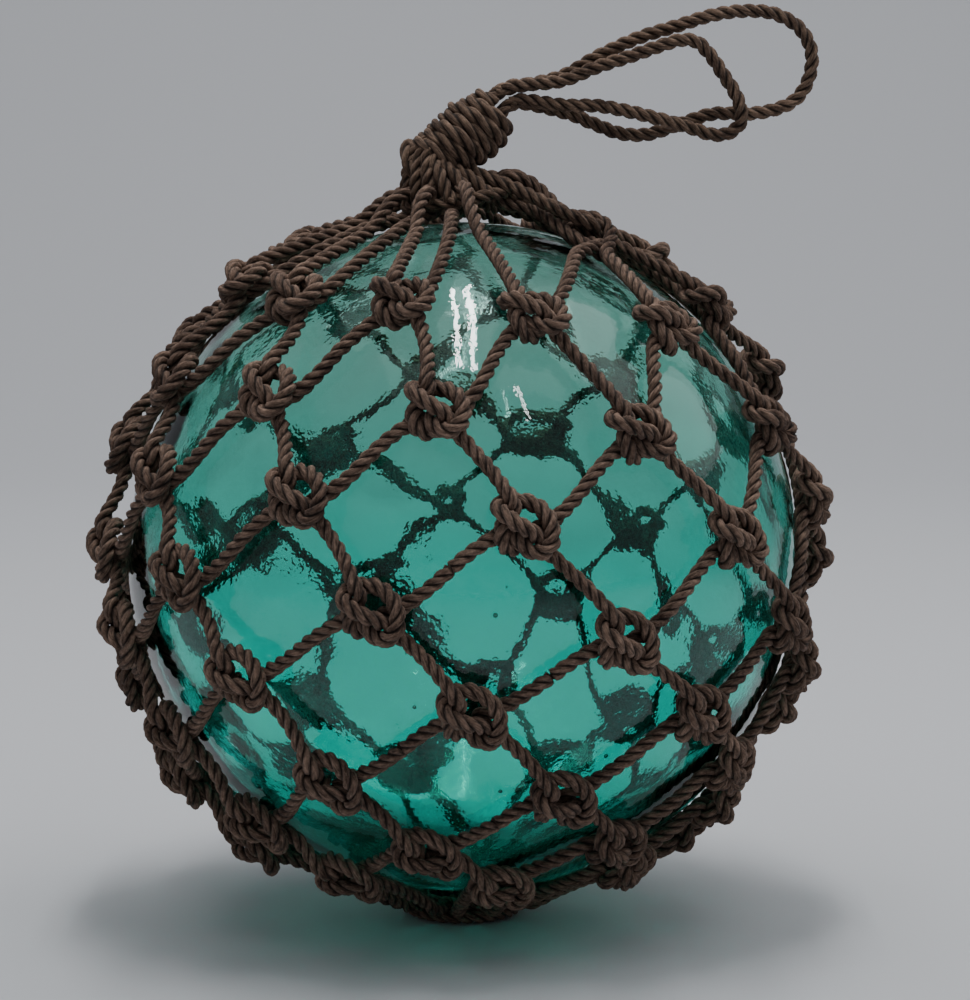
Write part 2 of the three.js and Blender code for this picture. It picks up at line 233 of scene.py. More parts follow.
# %% Laying a rope along a route
def lay_rope(line, closed=False, start_turn=0.0, thickness=1.0, lay=lay_length):
    """Each point of the grid is the route plus the skin's reach in a direction that turns with
    the lay. On a closed rope the turning is stretched a little so that the strands meet. The
    thickness is a share of the plain one, for the whole rope or for each point of its route.
    Each point also gets its place in a straight rope that is short and turns more slowly, where
    an even noise looks like yarns that run along the strands."""
    forward, side, rest = directions_along(line, closed)
    other = np.cross(forward, side)
    whole = np.vstack([line, line[:1]]) if closed else line
    along = np.append(0, np.cumsum(np.linalg.norm(np.diff(whole, axis=0), axis=1)))
    twist = 2 * math.pi * along / lay
    if closed:
        third = 2 * math.pi / 3
        ends_at = round((twist[-1] + rest) / third) * third - rest
        twist = twist * ends_at / twist[-1]
    along, twist = along[:len(line)], twist[:len(line)]
    ring = 2 * math.pi * np.arange(corners_round) / corners_round
    reach = skin_reach(ring)[None, :] * np.broadcast_to(thickness, len(line))[:, None]
    angle = ring[None, :] + twist[:, None] + start_turn
    ahead = np.cos(angle)[..., None] * side[:, None] + np.sin(angle)[..., None] * other[:, None]
    points = line[:, None] + reach[..., None] * ahead
    deep = (skin_reach(ring) - skin_reach(np.array([math.pi / 3]))) / (
        rope_radius - skin_reach(np.array([math.pi / 3])))
    groove = np.broadcast_to(1 - deep, angle.shape)
    slow = angle - yarn_slant * twist[:, None]
    yarn = np.stack([np.cos(slow) * reach, np.sin(slow) * reach,
                     np.broadcast_to(yarn_stretch * along[:, None], angle.shape)], -1)
    n, m = angle.shape
    i = np.arange(n if closed else n - 1)[:, None]
    j = np.arange(m)[None, :]
    k = (i + 1) % n
    quads = np.stack([i * m + j, i * m + (j + 1) % m, k * m + (j + 1) % m, k * m + j], -1)
    faces = [quads.reshape(-1, 4)]
    if not closed:
        faces += [np.arange(m)[None, ::-1], (n - 1) * m + np.arange(m)[None, :]]
    return points.reshape(-1, 3), faces, groove.ravel(), yarn.reshape(-1, 3)


def rope_piece(name, runs, material, nodes=()):
    """Several laid runs joined as one object: the faces of each run are counted on from the
    points of those before it."""
    points, grooves, yarns, faces, count = [], [], [], [], 0
    for run_points, run_faces, groove, yarn in runs:
        faces += [f + count for f in run_faces]
        points.append(run_points)
        grooves.append(groove)
        yarns.append(yarn)
        count += len(run_points)
    sized = [np.concatenate([f for f in faces if f.shape[1] == size])
             for size in sorted({f.shape[1] for f in faces})]
    piece = mesh_piece(name, np.concatenate(points), sized,
                       {"groove": np.concatenate(grooves), "yarn": np.concatenate(yarns)}, material)
    if nodes:
        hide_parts(*nodes)
    return piece

# %% [markdown]
# ## What the rope looks like
#
# Old, tarred rope that has dried to a dull taupe: darker and redder where it has kept its tar,
# greyer on the crowns that rub and bleach. Deep between the strands the colour is painted nearly
# black, as painted shade in the valleys. The fine yarns are drawn by a noise that is stretched
# along the rope, on the rope's own numbers, so that they follow every bend.

# %% Rope finish
def colour(red, green, blue):
    """A colour as given, from 0 to 255, turned into the light that the shader wants."""
    value = np.array([red, green, blue]) / 255
    linear = np.where(value <= 0.04045, value / 12.92, ((value + 0.055) / 1.055) ** 2.4)
    return (*linear.tolist(), 1.0)


def new_finish(name):
    """A new material with its nodes, its links and its shader."""
    finish = bpy.data.materials.new(name)
    finish.use_nodes = True
    nodes = finish.node_tree.nodes
    return finish, nodes, finish.node_tree.links, nodes["Principled BSDF"]


def add_node(nodes, kind, **settings):
    """A node whose settings go to its sockets, or to the node itself where it has no such
    socket."""
    node = nodes.new(kind)
    for key, value in settings.items():
        if key in node.inputs:
            node.inputs[key].default_value = value
        else:
            setattr(node, key, value)
    return node


patch_weight = 0.55
speck_weight = 0.5


def rope_finish(name, crown, body_tone, valley_shade):
    """crown is the rubbed rope and body_tone the part that kept its tar. The third colour is
    painted shade, nearly black, deep between two strands. Broad patches and fine specks are added
    up to choose between the first two."""
    finish, nodes, links, shader = new_finish(name)
    place = add_node(nodes, "ShaderNodeTexCoord")
    yarn = add_node(nodes, "ShaderNodeAttribute", attribute_name="yarn")
    groove = add_node(nodes, "ShaderNodeAttribute", attribute_name="groove")
    fibres = add_node(nodes, "ShaderNodeTexNoise", Scale=1050.0, Detail=4.0, Roughness=0.7)
    links.new(yarn.outputs["Vector"], fibres.inputs["Vector"])
    patches = add_node(nodes, "ShaderNodeTexNoise", Scale=28.0, Detail=4.0, Roughness=0.6)
    specks = add_node(nodes, "ShaderNodeTexNoise", Scale=260.0, Detail=3.0, Roughness=0.65)
    for noise in (patches, specks):
        links.new(place.outputs["Object"], noise.inputs["Vector"])
    tone = add_node(nodes, "ShaderNodeMix", data_type="RGBA")
    tone.inputs["A"].default_value = body_tone
    tone.inputs["B"].default_value = crown
    blend = add_node(nodes, "ShaderNodeMath", operation="ADD")
    for slot, (noise, weight) in enumerate(((patches, patch_weight), (specks, speck_weight))):
        part = add_node(nodes, "ShaderNodeMath", operation="MULTIPLY")
        part.inputs[1].default_value = weight
        links.new(noise.outputs["Fac"], part.inputs[0])
        links.new(part.outputs[0], blend.inputs[slot])
    stretch = add_node(nodes, "ShaderNodeMapRange")
    stretch.inputs["From Min"].default_value = 0.36
    stretch.inputs["From Max"].default_value = 0.68
    links.new(blend.outputs[0], stretch.inputs["Value"])
    links.new(stretch.outputs["Result"], tone.inputs["Factor"])
    streak = add_node(nodes, "ShaderNodeMix", data_type="RGBA", blend_type="MULTIPLY")
    ramp = add_node(nodes, "ShaderNodeValToRGB")
    ramp.color_ramp.elements[0].position = 0.34
    ramp.color_ramp.elements[0].color = (0.22, 0.2, 0.19, 1)
    ramp.color_ramp.elements[1].position = 0.64
    ramp.color_ramp.elements[1].color = (1.45, 1.4, 1.36, 1)
    links.new(fibres.outputs["Fac"], ramp.inputs["Fac"])
    streak.inputs["Factor"].default_value = 0.95
    links.new(tone.outputs["Result"], streak.inputs["A"])
    links.new(ramp.outputs["Color"], streak.inputs["B"])
    # Painted shade: the deeper a point lies between two strands, the nearer its colour is pulled to
    # the near-black shade colour.
    valley = add_node(nodes, "ShaderNodeMix", data_type="RGBA")
    valley.inputs["B"].default_value = valley_shade
    deep = add_node(nodes, "ShaderNodeMapRange")
    deep.inputs["From Min"].default_value = 0.3
    deep.inputs["From Max"].default_value = 0.95
    deep.inputs["To Max"].default_value = 0.92
    links.new(groove.outputs["Fac"], deep.inputs["Value"])
    links.new(deep.outputs["Result"], valley.inputs["Factor"])
    links.new(streak.outputs["Result"], valley.inputs["A"])
    links.new(valley.outputs["Result"], shader.inputs["Base Color"])
    bump = add_node(nodes, "ShaderNodeBump", Strength=0.9, Distance=0.0008)
    links.new(fibres.outputs["Fac"], bump.inputs["Height"])
    links.new(bump.outputs["Normal"], shader.inputs["Normal"])
    shader.inputs["Roughness"].default_value = 0.86
    shader.inputs["Specular IOR Level"].default_value = 0.25
    shader.inputs["Sheen Weight"].default_value = 0.06
    shader.inputs["Sheen Roughness"].default_value = 0.6
    return finish


# The last colour given to each finish is the painted shade deep between the strands.
net_rope_finish = rope_finish("net_rope", colour(152, 128, 112), colour(72, 54, 45),
                              colour(11, 7, 5))
cord_rope_finish = rope_finish("cord_rope", colour(146, 123, 105), colour(74, 56, 46),
                               colour(11, 7, 5))

# %% [markdown]
# ## The bound neck's middle line
#
# The neck climbs to the right, ever steeper, and leans back a little. The binding, the strands
# inside it and both loops take their places from its middle line, so that they stay together.

# %% Middle line of the neck
gather_across = -2 * MM
gather_radius = 23 * MM
gather_lift = 10.2 * MM
gather_tilt = math.radians(9)
neck_start = np.array([-13.3 * MM, -4 * MM, top_of_ball + gather_lift + 18 * MM])
neck_arc = 37 * MM
neck_slopes = (math.radians(30), math.radians(48))
neck_lean = math.radians(14)
neck_steps = 240
neck_turn_radii = np.array([12.4, 14.2, 15.2, 15.8, 15.8, 15.4, 14.4, 12.4]) * MM


def neck_heading(slope):
    """The direction of the neck at a slope: its level part is turned back by the lean."""
    level = math.cos(neck_lean)
    return np.stack([np.cos(slope) * level, np.full_like(slope, math.sin(neck_lean)),
                     np.sin(slope) * level], 1)


def neck_line(share):
    """Place and direction at a share of the neck: the slope grows evenly along the arc, and the
    place is the sum of its steps so far. Past either end the line runs on straight."""
    fine = np.linspace(0, 1, neck_steps + 1)
    slope = neck_slopes[0] + (neck_slopes[1] - neck_slopes[0]) * (fine[1:] + fine[:-1]) / 2
    places = neck_start + np.vstack([np.zeros(3), np.cumsum(neck_heading(slope), 0)
                                     * neck_arc / neck_steps])
    share = np.atleast_1d(np.asarray(share, float))
    held = np.clip(share, 0, 1)
    slope = neck_slopes[0] + (neck_slopes[1] - neck_slopes[0]) * held
    along = neck_heading(slope)
    place = np.stack([np.interp(held, fine, places[:, k]) for k in range(3)], 1)
    return place + along * ((share - held) * neck_arc)[:, None], along


def across_neck(along):
    """Two directions square to the neck: down to its right, and toward its back."""
    low = unit(np.cross([0, 1, 0], along))
    return low, np.cross(along, low)


neck_end = neck_line(1)[0][0]
print("neck ends at, mm:", np.round(1000 * neck_end, 1))

# %% [markdown]
# ## The two hanging loops
#
# Both loops are free cord, and they are made first. Each comes out of the binding's
# face, leaning over to the right, swings out on its own stiffness, and comes back beside itself.
# The points give the route across and up from the end of the neck; a smooth line through them is
# the rope's middle.

# %% Routes of the loops
large_loop_points = np.array([
    [30.1, 13.9], [46.2, 22.8], [64.4, 31], [82, 36.4], [98.1, 41.2], [112.4, 43],
    [125.4, 41.8], [136.8, 35.4], [142.4, 24.6], [141, 12], [135.4, 3.4], [126.3, -1],
    [114.2, -3], [98.4, -3], [84.4, -7.2], [68.8, -12.2], [56.7, -11.8], [44.8, -7.6],
    [34, -3.2]]) * MM
small_loop_points = np.array([
    [29.9, 12], [46, 18.2], [61.6, 23.2], [73.6, 27.4], [83.9, 30.2], [90.4, 29.2],
    [96.4, 23.4], [102.2, 14.9], [107.4, 6.9], [110.4, -1.1], [109.8, -7.4], [104.4, -11.6],
    [97.4, -12], [88.4, -9.2], [69.8, -4], [57.7, -1.2], [46.1, 0.8], [32, 1]]) * MM
spread = rope_radius * 1.2
way_out, way_back = math.radians(26), math.radians(18)
loop_depth = 4.2 * MM


def loop_route(points, depth):
    """Out of the neck's face on one side, leaning over to the right, through the points at one
    depth, and back in the same way on the other side. The lean would sink the rope's end into
    the face, so the end is moved out by its radius times the sine of the lean."""
    along = neck_line(1)[1][0]
    low, back = across_neck(along)

    def strand(slope, shift, straight):
        """Three points straight out of the face at a slope, from a place beside its middle."""
        lead = np.array([math.cos(slope), 0, math.sin(slope)])
        tilt = math.sin(math.acos(float(along @ lead)))
        start = neck_end + along * (rope_radius * (1 + tilt) + touch_gap) + low * shift
        start = start + back * math.copysign(spread, depth)
        return start + lead * straight * np.array([[0], [0.5], [1]])

    middle = neck_end + np.stack([points[:, 0], np.full(len(points), depth), points[:, 1]], 1)
    return np.vstack([strand(way_out, -spread, 6 * MM), middle,
                      strand(way_back, spread, 4.6 * MM)[::-1]])


# %% Making the loops
def hanging_loop(name, node, points, depth, start_turn):
    """A rope laid along its route. Its length is printed, and its middle line is given back."""
    route = smooth_line(loop_route(points, depth))
    line, length = even_steps(route, 1.4 * MM)
    piece = rope_piece(name, [lay_rope(line, start_turn=start_turn, thickness=1.05)],
                       cord_rope_finish, [node])
    print(f"{name}: {1000 * length:.0f} mm of rope")
    return line


large_loop = hanging_loop("large_loop_rope", "hanging_loop_large", large_loop_points,
                          loop_depth, 0.4)
small_loop = hanging_loop("small_loop_rope", "hanging_loop_small", small_loop_points,
                          -loop_depth, 1.3)

# %% [markdown]
# ## Where the knots of the net lie
#
# The net is a lattice of eight rows of ten knots, each row half a mesh round from the last. It
# was made by hand and leans to one side, so the columns crowd a little, the upper rows sag, and
# the whole top is tilted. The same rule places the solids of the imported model.

# %% Knot places
meshes_round = 10
knot_row_latitudes = np.array([54, 34.5, 18.5, 3, -9.5, -23.5, -38.5, -51])
row_count = len(knot_row_latitudes)
column_step = 360 / meshes_round
knot_centre_out = 9.5 * MM
first_longitude, longitude_per_row = 18, -3.4
crowding, sagging = 2.9, 4.2
lean_forward, lean_right = math.radians(8.2), math.radians(3.2)


def longitude_of(row, column):
    """Evenly round the ball, with a slow twist from row to row and a wave that crowds them."""
    wave = np.cos(np.radians(2 * column_step * (column + 0.9)))
    return first_longitude + longitude_per_row * row + column_step * column - crowding * wave


def tilted(v, row):
    """The top of the net leans forward and to the right, the bottom hardly at all."""
    share = np.clip((row_count + 1 - row) / 4, 0, 1)
    a, b = lean_forward * share, lean_right * share
    x, y, z = v
    y, z = y * np.cos(a) - z * np.sin(a), y * np.sin(a) + z * np.cos(a)
    x, z = x * np.cos(b) + z * np.sin(b), -x * np.sin(b) + z * np.cos(b)
    return np.array([x, y, z])


def knot_direction(row, column):
    """From the ball's centre to a knot. The sag of the upper rows is a wave with two low sides
    that fades out below the middle of the ball."""
    fade = np.clip((5.5 - row) / 2.5, 0, 1)
    wave = np.cos(np.radians(2 * column_step * (column + 0.7)))
    latitude = np.radians(knot_row_latitudes[row] + sagging * fade * wave)
    longitude = np.radians(longitude_of(row, column))
    return tilted(np.array([np.cos(latitude) * np.sin(longitude),
                            -np.cos(latitude) * np.cos(longitude), np.sin(latitude)]), row)


def near_column(column):
    """The same column counted from the front, at most half way round to either side."""
    half = meshes_round / 2
    return column - meshes_round if column > half else (
        column + meshes_round if column <= -half else column)


lattice = [(row, near_column(i + (row % 2) / 2)) for row in range(row_count)
           for i in range(meshes_round)]
number_of = {spot: i for i, spot in enumerate(lattice)}
outward = np.array([knot_direction(row, column) for row, column in lattice])
print("knots:", len(lattice))

# %% [markdown]
# ## Hooks at the top and at the bottom
#
# The topmost bights are hooked round the gathering ring, all but one, which a long bight of the
# gathering cord catches further down on the right. The lowest bights pass round the foundation
# ring under the ball.

# %% Places of the hooks
def gather_place(azimuth):
    """A point of the gathering ring, a circle over the ball that climbs to the right."""
    across = gather_radius * np.sin(np.radians(azimuth))
    return np.array([gather_across + across, -gather_radius * np.cos(np.radians(azimuth)),
                     top_of_ball + gather_lift + across * math.tan(gather_tilt)])


long_hook_column = 0.5
long_hook_radius = 56 * MM
long_hook_azimuth = math.radians(71)
reach = ball_radius + 7.6 * MM
long_hook = np.array([long_hook_radius * math.sin(long_hook_azimuth),
                      -long_hook_radius * math.cos(long_hook_azimuth),
                      centre_up + math.sqrt(reach**2 - long_hook_radius**2)])
foundation_radius = 24 * MM
foundation_up = 3.6 * MM


def top_hook(column):
    """Where the topmost bight of a column is hooked."""
    if abs(column - long_hook_column) < 0.01:
        return long_hook
    return gather_place(longitude_of(-1, column))


def bottom_hook(column):
    """Where the lowest bight of a column passes round the foundation ring."""
    azimuth = np.radians(longitude_of(row_count, column))
    return np.array([foundation_radius * np.sin(azimuth), -foundation_radius * np.cos(azimuth),
                     foundation_up])

# %% [markdown]
# ## Tying the knots
#
# In each knot the bight of the rope above hangs down as a U. The rope below comes up from the
# left through it, turns along its bottom and up on the right in front of its right leg, crosses
# the top in a wide arc, goes down behind its left leg, and comes back across the front to dip
# under its own first turn. It could be modelled as a lump, but the crossings are what the eye
# reads as a knot. So both ropes start on a loose route and are pulled tight: every point moves
# toward the middle of its neighbours, two points closer than one thickness push each other apart,
# and no point may sink into the glass. All eighty knots are tied at once, each with its own legs.

# %% The loose routes, in rope thicknesses: across, up and out from the glass
bight_route = np.array([
    [-3.4, 4.4, 1.0], [-1.9, 2.4, 1.7], [-1.4, 1.2, 1.4], [-1.5, 0.2, 1.3], [-1.6, -0.7, 1.7],
    [-1.3, -1.6, 1.0], [-0.7, -1.4, 0.5], [-0.4, -0.6, 0.6], [0.1, 0.0, 1.2], [0.8, 0.1, 1.4],
    [1.5, 0.3, 0.8], [2.2, 0.9, 0.6], [4.6, 3.8, 0.9]])
tying_route = np.array([
    [-4.6, -3.4, 0.9], [-2.6, -1.2, 0.6], [-1.5, -0.8, 0.9], [-0.7, -1.3, 1.5], [0.4, -2.0, 1.2],
    [1.8, -1.6, 1.3], [2.4, -0.3, 1.4], [1.9, 1.0, 1.6], [0.8, 1.9, 1.4], [-0.6, 2.3, 1.0],
    [-1.8, 1.9, 0.6], [-2.6, 1.0, 0.9], [-2.5, 0.0, 1.6], [-1.7, -0.6, 2.2], [-0.6, -0.9, 2.5],
    [0.5, -1.1, 1.6], [1.4, -1.2, 0.7], [2.8, -1.8, 0.6], [4.6, -3.4, 0.9]])
loose_step = 0.4
loose_bight, bight_length = even_steps(smooth_line(bight_route), loose_step)
loose_tying, tying_length = even_steps(smooth_line(tying_route), loose_step)
print(f"loose routes: {bight_length:.1f} and {tying_length:.1f} thicknesses")

# %% Directions at each knot, and the middle of each leg
leg_end_off_glass = 6 * MM
leg_middle_off_glass = 4.1 * MM
roll_spread = 5


def leg_ends(row, column):
    """The four neighbours of a knot: upper left, upper right, lower left, lower right."""
    ends = []
    for up in (-1, 1):
        for side in (-1, 1):
            near = near_column(column + side / 2)
            if row + up < 0:
                ends.append(top_hook(near))
            elif row + up == row_count:
                ends.append(bottom_hook(near))
            else:
                ends.append(ball_centre + (ball_radius + leg_end_off_glass) * outward[
                    number_of[(row + up, near)]])
    return ends


neighbours = np.array([leg_ends(row, column) for row, column in lattice])
rise = unit(neighbours[:, 0] + neighbours[:, 1] - neighbours[:, 2] - neighbours[:, 3])
rise = unit(rise - outward * (rise * outward).sum(1, keepdims=True))
across = np.cross(rise, outward)
foot = ball_centre + ball_radius * outward
axes = np.stack([across, rise, outward], 1)

sway = np.random.default_rng(7)
roll = np.radians(sway.normal(0, roll_spread, len(lattice)))
turned = axes.copy()
turned[:, 0] = axes[:, 0] * np.cos(roll)[:, None] + axes[:, 1] * np.sin(roll)[:, None]
turned[:, 1] = axes[:, 1] * np.cos(roll)[:, None] - axes[:, 0] * np.sin(roll)[:, None]
axes = turned


def to_knot(points, which=slice(None)):
    """World places seen from a knot, in rope thicknesses."""
    return np.einsum("kij,k...j->k...i", axes[which], points - foot[which].reshape(
        -1, *[1] * (points.ndim - 2), 3)) / rope


def to_world(points):
    """The way back: each knot's three directions times its points, from the knot's foot."""
    return foot[:, None] + np.einsum("kij,kni->knj", axes, points) * rope


leg_side = np.array([[-1.4, 1.9, 0.9], [1.7, 1.3, 0.9], [-1.9, -1.1, 0.9], [1.9, -1.4, 0.9]])


def far_start(row, column, leg, leg_starts):
    """Where the other end of a leg leaves its own knot."""
    up, side = (-1, -1, 1, 1)[leg], (-1, 1, -1, 1)[leg]
    near = near_column(column + side / 2)
    if row + up < 0:
        return top_hook(near)
    if row + up == row_count:
        return bottom_hook(near)
    return leg_starts[number_of[(row + up, near)], 3 - leg]


def leg_middles(leg_starts):
    """Half way between the two ends of each leg, kept off the glass, as seen from the knot."""
    far_starts = np.array([[far_start(row, column, leg, leg_starts) for leg in range(4)]
                           for row, column in lattice])
    from_centre = (leg_starts + far_starts) / 2 - ball_centre
    height = np.linalg.norm(from_centre, axis=-1, keepdims=True)
    return to_knot(ball_centre + from_centre / height
                   * np.maximum(height, ball_radius + leg_middle_off_glass))

# %% Pulling all the knots tight
def pull_legs(ropes, first, last, fade):
    """The ropes with their two ends moved to the leg middles. The shift fades out towards the
    knot, so that the crossings stay as they are."""
    share = np.linspace(0, 1, ropes.shape[1])
    near_first = np.clip(1 - share / fade, 0, 1)[None, :, None]
    near_last = np.clip(1 - (1 - share) / fade, 0, 1)[None, :, None]
    return (ropes + near_first * (first - ropes[:, 0])[:, None]
            + near_last * (last - ropes[:, -1])[:, None])


straighten_share = 0.30
push_share = 0.42
too_near_to_count = 4
rope_middle_off_glass = 0.53


def tighten(bights, tyings, rounds):
    """Straighten, push apart and keep off the glass, over and over. The ends stay put. Points
    of one rope that are fewer than four steps apart are neighbours and don't push."""
    split = bights.shape[1]
    ropes = np.concatenate([bights, tyings], 1).astype(np.float32)
    count = ropes.shape[1]
    owner = (np.arange(count) >= split).astype(int)
    apart = np.abs(np.arange(count)[:, None] - np.arange(count)[None, :])
    matters = (owner[:, None] != owner[None, :]) | (apart >= too_near_to_count)
    matters = matters.astype(np.float32)
    loose = np.ones(count, bool)
    loose[[0, split - 1, split, count - 1]] = False
    centre = np.array([0, 0, -ball_radius / rope], np.float32)
    least = ball_radius / rope + rope_middle_off_glass
    for _ in range(rounds):
        middle = (np.roll(ropes, 1, 1) + np.roll(ropes, -1, 1)) / 2
        ropes[:, loose] += straighten_share * (middle - ropes)[:, loose]
        for _ in range(2):
            gap = ropes[:, :, None] - ropes[:, None]
            far = np.sqrt((gap**2).sum(-1)) + 1e-6
            push = np.clip(1.0 - far, 0, None) * matters / far
            ropes[:, loose] += push_share * (gap * push[..., None]).sum(2)[:, loose]
        lift = ropes - centre
        far = np.linalg.norm(lift, axis=-1, keepdims=True)
        ropes[:, loose] = (centre + lift / far * np.maximum(far, least))[:, loose]
    return ropes[:, :split], ropes[:, split:]


leg_begins = 5
bight_fade, tying_fade = 0.28, 0.16
rounds_of_passes = ((70, 30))
bights = np.repeat(loose_bight[None], len(lattice), 0)
tyings = np.repeat(loose_tying[None], len(lattice), 0)
leg_starts = to_world(np.repeat(leg_side[None], len(lattice), 0))
for rounds in rounds_of_passes:
    middles = leg_middles(leg_starts)
    bights = pull_legs(bights, middles[:, 0], middles[:, 1], bight_fade)
    tyings = pull_legs(tyings, middles[:, 2], middles[:, 3], tying_fade)
    bights, tyings = tighten(bights, tyings, rounds)
    bight_lines, tying_lines = to_world(bights), to_world(tyings)
    leg_starts = np.stack([lines[:, end] for lines in (bight_lines, tying_lines)
                           for end in (leg_begins, -1 - leg_begins)], 1)
knot_half_width = 2.6
body_points = np.abs(tyings[..., :2]).max(-1) < knot_half_width
print("rope height over the glass in the knots, thicknesses:",
      round(float(tyings[..., 2][body_points].max()), 2))

# %% [markdown]
# ## The ropes of the net
#
# Each row of the net is one rope that goes right round the ball. It ties a knot, drops to the
# next row, turns there as that knot's bight, and climbs back to its own row. So the halves made
# above are strung together row by row, and laid as closed ropes.

# %% Hook shapes
def over_the_ring(hook, first, last):
    """A bight round a ring cord: in under it, up behind it, over the top and out again. The
    points are set out from the cord's middle toward the axis of the ball and up."""
    inward = unit(np.array([gather_across, 0, 0]) - hook * [1, 1, 0])
    sideways = unit(last - first - inward * ((last - first) @ inward))
    up = unit(np.cross(sideways, inward))
    up = up if up[2] > 0 else -up
    r = rope * 0.98
    steps = [(-0.62, -1.7, -1.1), (-0.55, -0.5, -0.98), (-0.45, 0.7, -0.72), (-0.2, 1.05, 0.1),
             (0.15, 0.75, 0.75), (0.45, -0.1, 1.02), (0.6, -1.1, 0.75), (0.65, -2.0, 0.1)]
    return np.array([hook + r * (s * sideways + i * inward + u * up) for s, i, u in steps])


def under_the_ball(hook, first, last):
    """A bight over the foundation ring, with its nose on the inside of the ring."""
    inward = unit(-hook * [1, 1, 0])
    sideways = unit(last - first - inward * ((last - first) @ inward))
    up = np.array([0.0, 0.0, 1.0])
    steps = [(-0.6, -1.6, 0.75), (-0.6, -0.2, 1.1), (-0.55, 1.0, 0.6), (0.0, 1.35, 0.1),
             (0.55, 1.0, 0.6), (0.6, -0.2, 1.1), (0.6, -1.6, 0.75)]
    return np.array([hook + rope * (s * sideways + i * inward + u * up) for s, i, u in steps])


# %% Stringing a row together
def row_route(row):
    """row -1 is the rope that hooks the gathering ring; the last row's rope passes round the
    foundation ring. Every other rope ties its own row and hangs in the next."""
    pieces = []
    for i in range(meshes_round):
        column = near_column(i + (row % 2) / 2)
        if row < 0:
            spot = number_of[(0, near_column(column - 0.5))]
            after = number_of[(0, near_column(column + 0.5))]
            hook = top_hook(column)
            first, last = bight_lines[spot][-1], bight_lines[after][0]
            pieces += [bight_lines[spot][:-1], first[None], over_the_ring(hook, first, last)]
            continue
        spot = number_of[(row, column)]
        below = near_column(column + 0.5)
        pieces.append(tying_lines[spot][:-1])
        last = tying_lines[spot][-1]
        if row == row_count - 1:
            after = tying_lines[number_of[(row, near_column(column + 1))]][0]
            pieces += [last[None], under_the_ball(bottom_hook(below), last, after)]
        else:
            pieces.append(bight_lines[number_of[(row + 1, below)]][:-1])
    return np.concatenate(pieces)


leg_thickness, knot_thickness = 1.05, 1.2
swelling_ends_at = 22 * MM
swelling_fades_over = 10 * MM


def fatness(line):
    """Bent hard, the strands open and the rope swells: by a fifth in a knot, fading to a
    twentieth over the ten millimetres round it."""
    knots = ball_centre + (ball_radius + knot_centre_out) * outward
    near = np.linalg.norm(line[:, None] - knots[None], axis=-1).min(1)
    share = np.clip((swelling_ends_at - near) / swelling_fades_over, 0, 1)
    return leg_thickness + (knot_thickness - leg_thickness) * share**2 * (3 - 2 * share)


def eased(line):
    """The halves of a leg meet at a slight corner. Between the knots, where the rope isn't
    swollen, each point moves half way to the middle of its neighbours, twelve times over."""
    free = ((knot_thickness - fatness(line)) / (knot_thickness - leg_thickness))[:, None]
    for _ in range(12):
        middle = (np.roll(line, 1, 0) + np.roll(line, -1, 0)) / 2
        line = line + 0.5 * free * (middle - line)
    return line


net_length = 0.0
for row in range(-1, row_count):
    line, length = even_steps(smooth_line(row_route(row), closed=True, per_piece=6),
                              1.45 * MM, closed=True)
    line = eased(line)
    piece = rope_piece(f"net_rope_{row + 1}", [lay_rope(line, True, thickness=fatness(line))],
                       net_rope_finish, ["net"])
    net_length += length
print(f"rope in the net: {net_length:.1f} m")

# %% [markdown]
# ## The foundation ring and its closing knot
#
# Under the ball the net closes on a ring of two turns of rope, and the ends are tied off in the
# middle. It is what the float stands on, so its lowest side lies on the floor.

# %% Foundation ring and closing knot
def level_ring(radius, up, count=60):
    """A level circle at a height."""
    turn = np.linspace(0, 2 * math.pi, count, endpoint=False)
    return np.stack([radius * np.cos(turn), radius * np.sin(turn), np.full(count, up)], 1)


on_the_floor = 3.5 * MM
hidden_step = 1.8 * MM
turn = np.linspace(0, 5.2 * math.pi, 120)
closing_radius = 7.2 * MM + 1.4 * MM * np.cos(1.5 * turn)
climb = 5.0 * MM * turn / turn[-1] + 0.6 * MM * np.sin(2.5 * turn)
closing = np.stack([closing_radius * np.cos(turn), closing_radius * np.sin(turn),
                    on_the_floor + climb], 1)
lower_turn = level_ring(foundation_radius, on_the_floor)
upper_turn = level_ring(foundation_radius - 0.6 * rope, 8.6 * MM)
runs = [lay_rope(even_steps(line, hidden_step, True)[0], True) for line in (lower_turn, upper_turn)]
runs.append(lay_rope(even_steps(closing, hidden_step)[0]))
foundation = rope_piece("foundation_ring", runs, net_rope_finish, ["net"])

# %% [markdown]
# ## The gathering cord
#
# One cord runs through all the top hooks as a ring. Its parts rise from there to the foot of the
# neck, spread like the ribs of a tent, and one long bight reaches down on the right to the hook
# that did not come up to the ring. All are laid as in the net.

# %% Ring, risers and the long bight
cord_step = 1.5 * MM
cord_thickness = 1.05
# Each riser's place round the ring in degrees, its bow in millimetres, and the share of the neck
# at which it comes in.
risers = ((352, 2.5, -0.02), (15, 2.5, 0.04), (38, 2, 0.1), (68, 2, 0.16), (100, 2, 0.2),
          (135, 2, 0.12), (172, 2.5, 0), (205, 2.5, -0.04), (238, 2, -0.04), (262, 2.5, -0.08),
          (284, 2.5, -0.06), (308, 2.5, -0.04), (330, 2.5, -0.03))


def riser(azimuth, bow, share):
    """From the gathering ring up to the neck's foot, bowed outwards. A riser keeps to its own
    side of the neck: the left ones come in on top, the right ones from below."""
    sine, cosine = np.sin(np.radians(azimuth)), np.cos(np.radians(azimuth))
    places, headings = neck_line([share, share + 0.35])
    low, back = across_neck(headings)
    offset = low * sine - back * cosine
    head = places[0] + 8.2 * MM * offset[0]
    inside = places[1] + 5 * MM * offset[1]
    foot_at = gather_place(azimuth)
    middle = (foot_at + head) / 2 + bow * unit((foot_at - [gather_across, 0, 0]) * [1, 1, 0])
    return np.vstack([foot_at, middle, head, inside])


